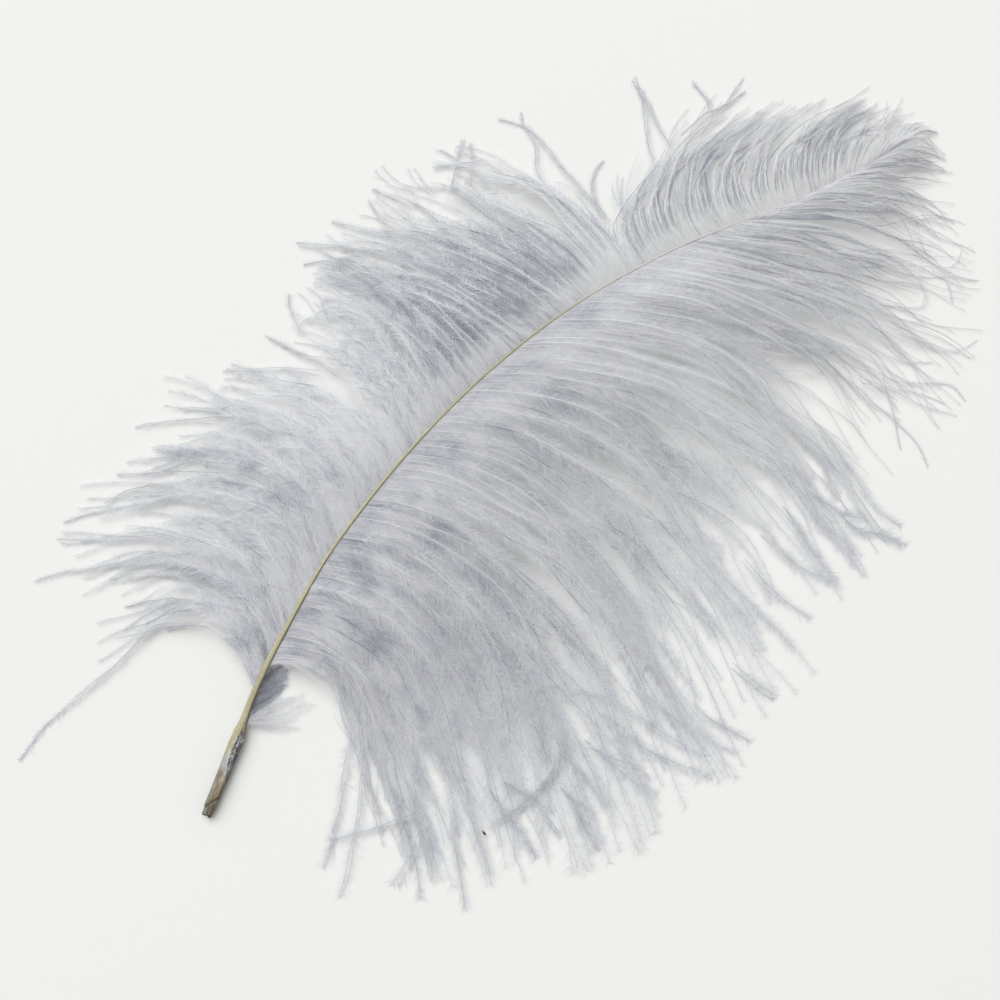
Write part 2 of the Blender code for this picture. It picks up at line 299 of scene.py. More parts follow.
# Single barbs that stray beyond the vanes, as routes of along and across by turns. Then, by group, their
# barbules' length, width and spacing and the number of barbs on each route.
STRAYS = {
    "low_left": [
        [42, 49, 33, 57, 19, 58, 6, 58, -17, 59, -33, 57], [42, 52, 34, 57, 29, 57, 24, 59],
        [44, 48, 39, 51, 34, 54], [43, 60, 36, 65, 28, 70], [45, 70, 38, 75, 31, 79],
        [48, 75, 40, 80, 29, 87, 22, 92, 13, 97], [53, 77, 48, 82, 38, 91, 28, 101],
        [67, 84, 57, 90, 42, 100, 34, 104], [79, 89, 68, 94, 57, 103], [64, 94, 56, 98, 48, 100],
        [101, 88, 92, 96, 82, 104, 73, 110], [97, 95, 93, 100, 88, 104],
    ],
    "left": [
        [131, 80, 126, 87, 117, 95, 108, 104], [134, 77, 133, 84, 129, 95, 126, 102],
        [145, 92, 146, 95, 148, 99], [136, 95, 139, 104, 142, 108],
        [167, 99, 162, 103, 157, 107, 152, 110], [174, 94, 169, 101, 161, 111, 155, 117],
        [187, 90, 178, 99, 174, 106, 168, 114], [182, 101, 182, 106, 183, 111],
        [191, 99, 189, 106, 187, 113], [196, 103, 193, 110, 193, 117], [199, 97, 199, 104, 200, 109],
        [219, 94, 212, 100, 206, 104], [214, 101, 213, 104, 212, 107], [206, 94, 212, 99, 220, 104],
        [210, 91, 218, 97, 221, 101],
    ],
    "notch": [
        [236, 51, 236, 63, 237, 72, 238, 80, 238, 90, 236, 96, 233, 101],
        [228, 72, 231, 79, 236, 85, 239, 94, 241, 97], [235, 51, 238, 59, 242, 64, 245, 65, 249, 66],
        [260, 53, 262, 58, 272, 70, 274, 75], [268, 54, 271, 63, 273, 70, 276, 78],
        [273, 54, 281, 54, 287, 54, 288, 57, 289, 64], [278, 49, 289, 51, 294, 52, 302, 53],
        [285, 52, 291, 51, 300, 49], [284, 40, 288, 40, 299, 41], [265, 49, 273, 44, 281, 38, 291, 34],
    ],
    "tip": [
        [304, -2, 314, -12, 315, -17, 316, -23, 317, -27, 319, -32],
        [295, -1, 309, -16, 310, -21, 311, -28, 315, -37, 317, -44],
        [301, -18, 304, -28, 306, -33, 306, -36], [303, -35, 306, -40, 308, -46, 312, -51],
        [302, -37, 304, -42, 302, -47, 300, -50],
        [296, -29, 297, -36, 296, -41, 294, -44, 291, -44, 287, -40, 283, -35],
        [314, -39, 311, -41, 308, -41], [281, -42, 283, -45, 285, -52, 286, -57],
        [276, -40, 280, -50, 287, -60, 290, -63, 293, -64, 297, -65],
        [267, -38, 271, -45, 274, -53, 279, -58, 282, -61],
        [267, -44, 267, -50, 270, -58, 278, -65, 281, -70, 281, -77],
        [260, -45, 265, -56, 271, -65, 275, -72], [259, -49, 265, -59, 269, -69, 274, -79],
        [267, -50, 264, -56, 261, -62, 254, -74], [256, -41, 257, -52, 258, -67, 258, -79, 256, -85],
    ],
    "right": [
        [234, -32, 233, -41, 231, -50, 232, -59, 228, -66, 226, -71],
        [239, -47, 238, -57, 235, -71, 234, -80, 235, -92],
        [235, -48, 233, -62, 231, -71, 229, -80, 228, -86], [220, -60, 222, -68, 224, -75, 229, -82],
        [224, -73, 224, -82, 229, -89, 232, -97], [223, -52, 220, -60, 217, -75, 218, -84, 214, -91],
        [212, -60, 210, -70, 208, -79, 207, -91], [200, -61, 202, -70, 203, -80, 207, -91],
        [189, -63, 189, -81, 191, -89, 192, -93], [162, -86, 163, -96, 165, -104],
    ],
    "low_right": [
        [144, -87, 143, -93, 145, -99, 147, -104, 148, -109], [132, -68, 135, -83, 138, -97, 142, -109],
        [117, -54, 125, -68, 129, -89, 134, -103], [119, -67, 120, -79, 123, -92, 130, -109],
        [108, -70, 109, -78, 110, -89, 113, -100], [108, -71, 113, -83, 116, -89, 116, -94],
        [101, -68, 100, -78, 99, -86, 98, -92], [92, -76, 92, -81, 94, -86, 94, -91],
        [92, -81, 90, -86, 88, -92, 86, -100], [80, -61, 83, -72, 81, -81, 80, -88],
        [74, -60, 72, -70, 71, -80, 69, -88], [66, -55, 63, -64, 60, -72, 55, -80],
        [60, -56, 52, -67, 47, -74, 40, -83], [52, -34, 47, -45, 43, -54, 39, -61, 32, -70],
        [56, -38, 51, -46, 48, -53, 43, -62, 39, -68], [47, -54, 42, -57, 35, -59, 28, -61],
        [51, -49, 43, -45, 37, -42, 24, -36],
        [66, 6, 61, -4, 54, -14, 41, -24, 33, -30, 26, -35, 16, -41],
        [64, -2, 60, -11, 55, -19, 45, -28, 37, -35, 28, -42, 19, -48, 13, -52],
    ],
    "thick": [
        [102, -65, 97, -69, 90, -71, 82, -71.5, 74, -71, 67, -69.5],
    ],
}
STRAY_BARBULES = {
    "low_left": (2.8, 0.15, 0.34, 2),
    "left": (3.2, 0.15, 0.34, 2),
    "notch": (2.6, 0.15, 0.34, 2),
    "tip": (2, 0.15, 0.36, 1),
    "right": (4.8, 0.16, 0.34, 2),
    "low_right": (5, 0.16, 0.38, 2),
    "thick": (3.4, 0.16, 0.34, 5),
}
# Tone and scatter of the thick strand's barbs, and of the others.
THICK_STRAND = (0.6, 0.9)
OTHER_STRAYS = (0.66, 0.4)
# How much darker a stray's ramus is than its barbules: partly its own tone, partly a painted shadow line.
STRAY_LINE = 0.16
STRAY_RADIUS = (0.1, 0.09, 0.06)
STRAY_HEIGHTS = (3.2, 0.35)
STRAY_SWAY = 0.8
STRAY_WAVE = 8

# Tufts of down on the right of the quill's top: first and last root (along, across), tips that the fan
# runs through, number of barbs, tone, and length and spacing of barbules.
DOWN = [
    (
        (32.6, 14.2), (46, 20.4), [(52, 20.6), (52.5, 16.4), (50, 13), (43, 13.4)],
        70, 0.34, 1.5, 0.3,
    ),
    (
        (31.2, 13.4), (32.6, 14), [(45, 11.4), (50.5, 8), (51, 3.2), (44.5, -0.4), (39.6, 1.2)],
        22, 0.8, 3.2, 0.5,
    ),
]
DOWN_RADIUS = (0.08, 0.07, 0.04)
DOWN_REACH = (0.45, 1.15)
DOWN_BEND = 0.9
DOWN_HEIGHTS = (2.8, 1)
DOWN_LINE = 0.15

# Bare hairs across the barbs: how many, the share of a barb's run where one starts, how long a share it
# covers, its slant, bow and lift, its radius, the share of pale ones, the tones of pale and dark ones,
# and the root beyond which there are none.
HAIRS = {LEFT: 200, RIGHT: 340}
HAIR_START = (0.03, 0.65)
HAIR_STRETCH = (0.1, 0.3)
HAIR_SAMPLES = 10
HAIR_SLANT = 1.8
HAIR_BOW = 0.8
HAIR_LIFT = (0.4, 1.6)
HAIR_RADIUS = (0.05, 0.065, 0.03)
PALE_HAIRS = 0.72
HAIR_TONES = (1.0, 0.3)
LAST_HAIR = 285

# A speck of dirt: along, across and height, then its radii, its turn in the plan and its colours.
FLECK = (63, -69, 1.6)
FLECK_RADII = (0.35, 0.85, 0.25)
FLECK_TURN = math.radians(-5)
FLECK_COLOURS = ((0.012, 0.010, 0.009), (0.09, 0.065, 0.05))

# Where the vanes are divided into pieces, by root along the shaft.
DIVISIONS = {
    LEFT: [("left_vane_base", 0, 92), ("left_vane_middle", 92, 160), ("left_vane_upper", 160, 400)],
    RIGHT: [
        ("right_vane_base", 0, 92), ("right_vane_lower", 92, 140), ("right_vane_middle", 140, 196),
        ("right_vane_upper", 196, 400),
    ],
}

# The camera looks straight down on this place (along, across), turned by degrees.
VIEW_CENTRE = (144.6, 7.8)
VIEW_TURN = -44
CAMERA_HEIGHT = 794.7
CAMERA_LENS = 85
# The stage, in metres: a pale floor, soft light from all round and a wide soft lamp.
FLOOR_SIZE = 4
FLOOR_COLOUR = (0.832, 0.84, 0.808)
SKY_COLOUR = (0.98, 0.99, 1)
SKY_STRENGTH = 0.455
LAMP_PLACE = (1, 5.4, 6.2)
LAMP_SIZE = 8.4
LAMP_ENERGY = 680


def linear_at(rows, x):
    """Values at x on straight lines through rows of (x, value)."""
    return np.interp(x, *np.array(rows).T)


def smooth_at(rows, x):
    """Values at x on a smooth curve through rows of (x, value, ...): an array with a row for each x."""
    table = np.array(rows, float)
    x = np.clip(np.asarray(x, float), table[0, 0], table[-1, 0])
    k = np.clip(np.searchsorted(table[:, 0], x, side="right") - 1, 0, len(table) - 2)
    before = np.maximum(np.arange(len(table)) - 1, 0)
    after = np.minimum(np.arange(len(table)) + 1, len(table) - 1)
    slopes = (table[after, 1:] - table[before, 1:]) / (table[after, :1] - table[before, :1])
    width = (table[k + 1, 0] - table[k, 0])[:, None]
    t = (x - table[k, 0])[:, None] / width
    return (
        table[k, 1:] * (2 * t**3 - 3 * t**2 + 1)
        + slopes[k] * width * (t**3 - 2 * t**2 + t)
        + table[k + 1, 1:] * (3 * t**2 - 2 * t**3)
        + slopes[k + 1] * width * (t**3 - t**2)
    )


def grow(x, low, high):
    """From 0 at low to 1 at high."""
    t = np.clip((x - low) / (high - low), 0.0, 1.0)
    return t * t * (3 - 2 * t)


def fade(x, low, high):
    """From 1 at low to 0 at high."""
    return 1 - grow(x, low, high)


def plateau(x, rise, top, end, fall):
    """1 between top and end, 0 before rise and after fall, smooth between."""
    return grow(x, rise, top) * fade(x, end, fall)


def bell(distance, width):
    """1 at no distance, and near 0 from twice the width."""
    return np.exp(-((distance / width) ** 2))


def runs(side, roots, shares):
    """Points of the barbs with the given roots (n) at shares of their runs (n by m): n by m by 3."""
    table = np.array(BARB_RUNS[side], float)
    columns = (np.interp(roots, table[:, 0], table[:, i]) for i in (1, 2, 3, 4))
    takeoff, pull, tip_along, tip_out = columns
    across, height = smooth_at(SHAFT_ROUTE, roots).T
    angle = np.radians(takeoff)
    start = np.stack([roots, across], 1)[:, None, :]
    bend = start + np.stack([pull * np.cos(angle), side * pull * np.sin(angle)], 1)[:, None, :]
    tip = np.stack([tip_along, side * tip_out], 1)[:, None, :]
    s = shares[:, :, None]
    plan = (1 - s) ** 2 * start + 2 * s * (1 - s) * bend + s**2 * tip
    down = np.minimum(1.0, shares / TOUCH_DOWN)
    fall = (1 - down**2) ** 2
    swell = LIFT[side] * np.sin(math.pi * down) * (1 - down)
    z = TIP_HEIGHT + (height[:, None] - TIP_HEIGHT) * fall + swell
    return np.concatenate([plan, z[:, :, None]], 2)


def gather(dice, roots, narrow, wide):
    """Groups of random width along the shaft: each root's group number and its group's middle."""
    edges = [roots[0] - 0.1]
    while edges[-1] < roots[-1]:
        edges.append(edges[-1] + dice.uniform(narrow, wide))
    edges = np.array(edges)
    group = np.searchsorted(edges, roots) - 1
    return group, (edges[group] + edges[group + 1]) / 2


def pick_leads(dice, roots, narrow, wide):
    """Which barbs lead, at random steps along the shaft, and how near each root is to a lead: 1 on it."""
    places = [roots[0] + dice.uniform(0, narrow)]
    while places[-1] < roots[-1]:
        step = dice.uniform(narrow, wide) * linear_at(LEAD_CLOSENESS, places[-1])
        places.append(places[-1] + step)
    places = np.array(places)
    nearest = np.argmin(np.abs(places[:, None] - roots[None, :]), axis=1)
    lead = np.zeros(len(roots), bool)
    lead[nearest] = True
    distance = np.abs(places[:, None] - roots[None, :]).min(0)
    midway = (narrow + wide) / 4 * linear_at(LEAD_CLOSENESS, roots)
    return lead, np.clip(1 - distance / midway, 0, 1)


def sideways(paths):
    """Unit vectors across each path in plan."""
    along = np.gradient(paths[:, :, :2], axis=1)
    along /= np.linalg.norm(along, axis=2, keepdims=True) + 1e-9
    return np.stack([-along[:, :, 1], along[:, :, 0]], 2)


class Barbs:
    """One vane's barbs: roots, paths (n by m by 3), tones (n by m, 0 dark to 1 light) and kinds."""

    def __init__(self, side, dice):
        self.side = side
        roots = [FIRST_ROOT[side]]
        while roots[-1] < LAST_ROOT:
            step = linear_at(ROOT_SPACING[side], roots[-1]) * dice.uniform(*SPACING_SPREAD)
            roots.append(roots[-1] + step)
        self.roots = np.array(roots)
        n = len(self.roots)
        self.lead, self.near_lead = pick_leads(dice, self.roots, *LEAD_SPACING[side])
        self.loose = (dice.random(n) < LOOSE_SHARE) & ~self.lead
        short, long = REACH[side]
        reach = long - (long - short) * dice.random(n) ** REACH_POWER
        self.s = np.linspace(0, 1, SAMPLES_A_BARB)[None, :]
        self.shares = reach[:, None] * self.s
        self.paths = runs(side, self.roots, self.shares)
        self.lengths = np.linalg.norm(np.diff(self.paths[:, :, :2], axis=1), axis=2).sum(1)
        self.scale = np.clip(self.lengths / FULL_LENGTH, *SWAY_SCALES)[:, None]
        self.scale *= linear_at(TIP_CALM, self.roots)[:, None]
        self.drift(dice)
        self.sway(dice)
        self.stack(dice)
        self.shade(dice)

    def drift(self, dice):
        """Barbs drift from their places, cling in strands and lean together in locks."""
        side, roots, s = self.side, self.roots, self.shares
        n = len(roots)
        own = self.paths
        strand, strand_middle = gather(dice, roots, *STRAND_WIDTHS[side])
        lock, lock_middle = gather(dice, roots, *LOCK_WIDTHS[side])
        self.strand, self.lock = strand, lock
        strand_drift = dice.normal(0, STRAND_DRIFT[side], strand.max() + 1)[strand]
        strand_drift = np.clip(strand_drift, -MOST_STRAND_DRIFT, MOST_STRAND_DRIFT)
        barb_drift = dice.normal(0, BARB_DRIFT[side], n)
        barb_drift[self.loose] = dice.normal(0, LOOSE_DRIFT, self.loose.sum())
        for place, width, shift in PARTINGS[side]:
            parted = shift * np.sign(roots - place) * bell(roots - place, width)
            barb_drift += parted
            strand_drift = strand_drift + parted
        to_own = runs(side, roots + barb_drift, s) - own
        to_strand = runs(side, strand_middle + strand_drift, s) - own
        to_lock = runs(side, lock_middle, s) - own
        combed = plateau(roots, *FURROW_ROOTS[side]) > 0.5
        start = np.where(combed, COMBED_START, DRIFT_START)[:, None]
        own_share = grow(s, start, start + DRIFT_SPAN)
        least = linear_at(CLING[side], roots)
        strand_cling = (least + (MOST_CLING - least) * dice.random(n))[:, None]
        strand_cling = strand_cling * grow(s, 0.2, 0.65)
        strand_cling *= 1 - 0.45 * grow(s, 0.7, 1.0)
        strand_cling[self.loose] *= LOOSE_STRAND_CLING
        lock_cling = dice.uniform(0.0, MOST_LOCK_CLING, n)[:, None] * grow(s, 0.4, 1.0)
        lock_cling[self.loose] *= LOOSE_LOCK_CLING
        self.paths = own + own_share[:, :, None] * to_own
        self.paths += strand_cling[:, :, None] * to_strand
        self.paths += lock_cling[:, :, None] * to_lock * (1 - 0.6 * strand_cling[:, :, None])

    def sway(self, dice):
        """Slow bends to the side, kinks and curled tips, which neighbours in a strand share."""
        n, s = len(self.roots), self.s
        strands = self.strand.max() + 1
        strand = self.strand[:, None]
        strand_sway = dice.normal(0, STRAND_SWAY, strands)[strand] * s**1.4
        lock_sway = dice.normal(0, LOCK_SWAY, self.lock.max() + 1)[self.lock[:, None]] * s**1.6
        own_sway = dice.normal(0, BARB_SWAY, n)[:, None] * s**1.7
        turns = dice.uniform(*STRAND_TURNS, strands)[strand]
        phase = dice.uniform(0, 2 * math.pi, strands)[strand]
        strand_wave = STRAND_WAVE * grow(s, 0.1, 0.6) * np.sin(2 * math.pi * turns * s + phase)
        own_phase = dice.uniform(0, 2 * math.pi, n)[:, None]
        own_wave = BARB_WAVE * grow(s, 0.1, 0.7) * np.sin(2 * math.pi * BARB_TURNS * s + own_phase)
        kink_at = dice.uniform(*KINK_PLACES, strands)[strand]
        kinked = (dice.random(strands) < KINKED_SHARE)[strand]
        slope = kinked * dice.normal(0, KINK_SLOPE, strands)[strand]
        kink = slope * np.maximum(0, s - kink_at) * FULL_LENGTH
        curl = dice.normal(0, TIP_CURL, n)[:, None] * grow(s, CURL_START, 1.0) ** 1.5
        shift = strand_sway + lock_sway + own_sway + strand_wave + own_wave + kink + curl
        self.paths[:, :, :2] += sideways(self.paths) * (shift * self.scale)[:, :, None]

    def stack(self, dice):
        """Heights: leads on top, furrows between them, strands above and below each other."""
        n, s = len(self.roots), self.s
        bump = np.sin(math.pi * np.clip(self.shares / 0.97, 0, 1)) ** 0.6 * np.minimum(self.scale, 1.0)
        self.furrow = plateau(self.roots, *FURROW_ROOTS[self.side])[:, None]
        self.furrow = self.furrow * plateau(s, *FURROW_SHARES[self.side])
        layer = dice.normal(0, STRAND_LAYER, self.strand.max() + 1)[self.strand]
        layer = layer + dice.normal(0, BARB_LAYER, n)
        layer = layer + np.where(self.lead, LEAD_LAYER, 0.0)
        heights = self.paths[:, :, 2]
        heights += layer[:, None] * bump
        heights -= FURROW_DEPTH[self.side] * self.furrow * (1 - self.near_lead[:, None])
        least, spread = LEAST_HEIGHTS
        np.maximum(heights, least + spread * dice.random(n)[:, None], out=heights)

    def shade(self, dice):
        """Tones: a painted highlight on leads, painted shade in furrows in short lengths, strands that
        differ a little.

        Leads in the furrowed stretch have short barbules, so that the furrows beside them show.
        """
        n, s, side = len(self.roots), self.s, self.side
        strands = self.strand.max() + 1
        patches = slow_noise(dice, strands, s, PATCH_TURNS)[self.strand]
        specks = slow_noise(dice, n, s, SPECK_TURNS)
        stretches = slow_noise(dice, n, s, PATCH_TURNS)
        own = dice.normal(0, STRAND_TONES, strands)[self.strand] + dice.normal(0, BARB_TONES, n)
        tones = linear_at(BASE_TONE[side], self.roots)[:, None] + own[:, None]
        tones = tones + PATCHES * patches + SPECKS * specks
        # Painted shade: the barbs in the furrows between the leads are darkened, by varying amounts in
        # short lengths.
        between = self.furrow * (1 - self.near_lead[:, None])
        depth = FURROW_PAINTED_SHADE[side] * linear_at(FURROW_GROWTH[side], self.roots)[:, None]
        tones -= depth * between * np.clip(0.6 + 0.6 * patches + 0.4 * specks, 0, 1.3)
        # Painted highlight: leads lie on top, and their barbules are lightened along most of their run.
        lead_highlight = np.clip(0.35 + 1.2 * stretches, 0, 1) * plateau(s, 0.03, 0.12, 0.7, 0.92)
        tones += LEAD_HIGHLIGHT[side] * self.lead[:, None] * lead_highlight
        self.fullness = 1 - LEAD_THINNING * self.furrow * self.near_lead[:, None] ** 2
        thinning = linear_at(END_THINNING[side], self.roots)[:, None]
        self.fullness *= 1 - thinning * grow(s, 0.5, 0.9)
        near_shaft = fade(s * self.lengths[:, None], *NEAR_SHAFT)
        tones = np.minimum(tones, LIGHTEST) - NEAR_SHADE[side] * near_shaft
        # Painted shade in smudges where barbules fold and clump, and broader shifts of tone.
        for along, across, radius, change in SHADE_AND_TONE_SMUDGES:
            distance = np.hypot(self.paths[:, :, 0] - along, self.paths[:, :, 1] - across)
            tones += change * bell(distance, radius)
        self.tones = np.clip(tones, 0, 1)
        # Painted highlight on the rami of the leads.
        ramus = np.where(self.lead[:, None], self.tones + RAMUS_HIGHLIGHT * lead_highlight, self.tones)
        ramus = ramus + 0.2 * specks - 0.06
        ramus += (NEAR_SHADE[side] + NEAR_LINE) * near_shaft
        # Painted shadow: some rami are darkened into dark lines, and towards the tips painted shade brings
        # all rami near one tone.
        lined = (dice.random(n) < LINED_SHARE)[:, None] * grow(-stretches, 0.0, 0.5)
        lined = lined * plateau(s, 0.1, 0.3, 0.75, 0.98)
        ramus += (RAMUS_END_SHADE_TONE - ramus) * grow(s, 0.45, 0.85) - SHADOW_LINE_DARKENING * lined
        ramus[self.loose] -= LOOSE_DARKENING
        self.ramus_tones = np.clip(ramus, 0, 1)


def slow_noise(dice, rows, s, turns):
    """Smooth noise from -1 to 1 along shares s, in so many rows, with about so many turns."""
    knots = dice.uniform(-1, 1, (rows, turns + 1))
    place = s[0] * turns
    k = np.minimum(place.astype(int), turns - 1)
    blend = grow(place - k, 0, 1)
    return knots[:, k] * (1 - blend) + knots[:, k + 1] * blend


def arc_lengths(path):
    """The distance along a path to each of its points."""
    return np.concatenate([[0.0], np.cumsum(np.linalg.norm(np.diff(path, axis=0), axis=1))])


def point_at(path, arc, at):
    """Points of a path at distances along it."""
    return np.stack([np.interp(at, arc, path[:, i]) for i in range(3)], 1)


def unit(vectors):
    return vectors / (np.linalg.norm(vectors, axis=-1, keepdims=True) + 1e-9)


def wave(dice, at, length):
    """Smooth noise along a barb, about -1 to 1, that changes over the given length."""
    knots = np.arange(0, at[-1] + 2 * length, length)
    return np.interp(at, knots, dice.uniform(-1, 1, len(knots)))


class BarbMesh:
    """Collects rami and barbules, then makes one mesh object of them."""

    def __init__(self):
        self.points, self.triangles, self.tones, self.slots = [], [], [], []
        self.count = 0

    def add(self, points, triangles, tones, slot):
        self.points.append(points)
        self.triangles.append(triangles + self.count)
        self.tones.append(tones)
        self.slots.append(np.full(len(triangles), slot, np.int32))
        self.count += len(points)

    def ramus(self, path, arc, tones, radii):
        """A three-sided tapered tube along a path."""
        rings = max(4, int(arc[-1] / RAMUS_STEP) + 1)
        at = np.linspace(0, arc[-1], rings)
        centre = point_at(path, arc, at)
        tangent = unit(np.gradient(centre, axis=0))
        side = unit(np.cross(tangent, (0.0, 0.0, 1.0)))
        up = np.cross(side, tangent)
        radius = np.interp(at / arc[-1], RADIUS_SHARES, radii)[:, None]
        corners = [
            centre + radius * (math.cos(a) * side + math.sin(a) * up)
            for a in (math.pi / 2, math.pi * 7 / 6, math.pi * 11 / 6)
        ]
        points = np.stack(corners, 1).reshape(-1, 3)
        k = np.arange(rings - 1)[:, None] * 3
        faces = []
        for a, b in ((0, 1), (1, 2), (2, 0)):
            faces.append(np.concatenate([k + a, k + b, k + 3 + b], 1))
            faces.append(np.concatenate([k + a, k + 3 + b, k + 3 + a], 1))
        ends = np.array([[0, 2, 1], [3 * rings - 3, 3 * rings - 2, 3 * rings - 1]])
        self.add(points, np.concatenate(faces + [ends]), np.repeat(np.interp(at, arc, tones), 3), 1)

    def barbules(self, dice, path, arc, tones, lengths, width=BARBULE_WIDTH, spacing=BARBULE_SPACING):
        """Two rows of barbules: slim triangles that leave the ramus towards its tip."""
        for hand in (1, -1):
            at = np.arange(BARE_END, arc[-1] - BARE_END, spacing)
            if not len(at):
                continue
            n = len(at)
            at = at + dice.uniform(-0.4, 0.4, n) * spacing
            share = at / arc[-1]
            near = point_at(path, arc, at)
            ahead = point_at(path, arc, at + width)
            tangent = unit(point_at(path, arc, at + 0.8) - point_at(path, arc, at - 0.8))
            side = unit(np.cross((0.0, 0.0, 1.0), tangent)) * hand
            up = np.cross(tangent, side) * hand
            tuft = wave(dice, at, LEAN_TUFT)
            drift, tufts, single = LEAN_SPREADS
            lean = BARBULE_LEAN + LEAN_GROWTH * share + drift * wave(dice, at, SLOW_DRIFT) + tufts * tuft
            lean += single * dice.normal(0, 1, n)
            lean = np.radians(lean)[:, None]
            drift, tufts, single = RISE_SPREADS
            rise = BARBULE_RISE + drift * wave(dice, at, SLOW_DRIFT) + tufts * wave(dice, at, RISE_TUFT)
            rise += single * dice.normal(0, 1, n)
            rise = np.radians(rise)[:, None]
            ray = np.cos(lean) * tangent + np.sin(lean) * (np.cos(rise) * side + np.sin(rise) * up)
            grown = (0.3 + 0.7 * np.minimum(1, at / GROWING_STRETCH)) * (1 - 0.2 * share**2)
            grown = grown * np.minimum(1, (arc[-1] - at) / SHRINKING_STRETCH + 0.5)
            length = np.interp(at, arc, lengths) * grown * dice.uniform(0.6, 1.2, n)
            tips = near + ray * length[:, None]
            tips[:, 2] = np.maximum(tips[:, 2], LEAST_BARBULE_HEIGHT)
            points = np.stack([near, ahead, tips], 1).reshape(-1, 3)
            faces = np.arange(3 * n).reshape(-1, 3)
            if hand < 0:
                faces = faces[:, ::-1]
            tone = np.interp(at, arc, tones) + TUFT_TONES * tuft + BARBULE_TONES * dice.normal(0, 1, n)
            # Painted shade: each barbule is lighter at its root by the ramus and darker at its tip, as
            # under the next barb.
            tone = np.stack([tone + 0.06, tone + 0.06, tone - 0.08], 1).reshape(-1)
            self.add(points, faces, np.clip(tone, 0, 1), 0)

    def barb(self, dice, path, tones, ramus_tones, lengths, radii=RAMUS_RADIUS, **settings):
        arc = arc_lengths(path)
        self.ramus(path, arc, ramus_tones, radii)
        self.barbules(dice, path, arc, tones, lengths * np.ones(len(path)), **settings)

    def finish(self, name, materials):
        points, triangles = np.concatenate(self.points), np.concatenate(self.triangles)
        data = make_mesh(name, points, triangles, materials)
        data.polygons.foreach_set("material_index", np.concatenate(self.slots))
        tones = np.concatenate(self.tones)
        set_colours(data, "tone", "BYTE_COLOR", np.stack([tones, tones, tones], 1))
        add_piece(name, data)


def make_mesh(name, points, faces, materials):
    """A mesh from points in millimetres in the plan."""
    data = bpy.data.meshes.new(name)
    data.from_pydata((points + np.array([*QUILL_END, 0.0])) * MM, [], faces)
    for material in materials:
        data.materials.append(material)
    return data


def set_colours(data, layer_name, kind, colours):
    """A colour for each point of a mesh, from rows of red, green and blue."""
    colours = np.concatenate([colours, np.ones((len(colours), 1))], 1)
    layer = data.color_attributes.new(layer_name, kind, "POINT")
    layer.data.foreach_set("color", colours.astype(np.float32).ravel())


def add_piece(name, data):
    data.update()
    piece = bpy.data.objects.new(name, data)
    bpy.context.scene.collection.objects.link(piece)
    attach(piece, BODY)
    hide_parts(NODE)


def new_material(name, roughness, shine):
    """A material and its shader."""
    material = bpy.data.materials.new(name)
    material.use_nodes = True
    shader = material.node_tree.nodes["Principled BSDF"]
    shader.inputs["Roughness"].default_value = roughness
    shader.inputs["Specular IOR Level"].default_value = shine
    return material, shader


def node(tree, kind, **inputs):
    made = tree.nodes.new(kind)
    for name, value in inputs.items():
        made.inputs[name].default_value = value
    return made


def noise(tree, **inputs):
    """Noise by place on the object."""
    place = node(tree, "ShaderNodeTexCoord")
    made = node(tree, "ShaderNodeTexNoise", **inputs)
    tree.links.new(place.outputs["Object"], made.inputs["Vector"])
    return made.outputs["Fac"]


def point_colours(tree, layer_name):
    made = node(tree, "ShaderNodeVertexColor")
    made.layer_name = layer_name
    return made.outputs["Color"]


def colour_ramp(tree, source, low, dark, high, light):
    """Colours from dark, where the source is low, to light, where it is high."""
    ramp = node(tree, "ShaderNodeValToRGB")
    ends = ramp.color_ramp.elements
    ends[0].position, ends[1].position = low, high
    ends[0].color, ends[1].color = (*dark, 1), (*light, 1)
    tree.links.new(source, ramp.inputs["Fac"])
    return ramp.outputs["Color"]


def fibre_material(name, colours, roughness, see_through):
    """Pale dyed keratin: between dark and light by the fibre's tone and a slow drift of its colour."""
    material, shader = new_material(name, roughness, shine=0.3)
    tree = material.node_tree
    link = tree.links.new
    add = node(tree, "ShaderNodeMath")
    add.operation = "MULTIPLY_ADD"
    add.inputs[1].default_value = DYE_DRIFT
    link(noise(tree, Scale=45.0, Detail=3.0, Roughness=0.6), add.inputs[0])
    link(point_colours(tree, "tone"), add.inputs[2])
    dark, light = colours
    colour = colour_ramp(tree, add.outputs["Value"], 0.15, dark, 1.0, light)
    link(colour, shader.inputs["Base Color"])
    through = node(tree, "ShaderNodeBsdfTranslucent")
    link(colour, through.inputs["Color"])
    mix = node(tree, "ShaderNodeMixShader", Fac=see_through)
    link(shader.outputs["BSDF"], mix.inputs[1])
    link(through.outputs["BSDF"], mix.inputs[2])
    link(mix.outputs["Shader"], tree.nodes["Material Output"].inputs["Surface"])
    return material


def make_vanes(materials):
    vanes = []
    for side, seed in ((LEFT, 21), (RIGHT, 22)):
        dice = np.random.default_rng(seed)
        barbs = Barbs(side, dice)
        for name, first, last in DIVISIONS[side]:
            mesh = BarbMesh()
            for i in np.flatnonzero((barbs.roots >= first) & (barbs.roots < last)):
                length = linear_at(BARBULE_LENGTH[side], barbs.roots[i]) * dice.uniform(*LENGTH_SPREAD)
                if barbs.loose[i]:
                    length *= LOOSE_BARBULES
                radii = LEAD_RADIUS[side] if barbs.lead[i] else RAMUS_RADIUS
                tones, lines = barbs.tones[i], barbs.ramus_tones[i]
                mesh.barb(dice, barbs.paths[i], tones, lines, length * barbs.fullness[i], radii)
            mesh.finish(name, materials)
        vanes.append(barbs)
    return vanes


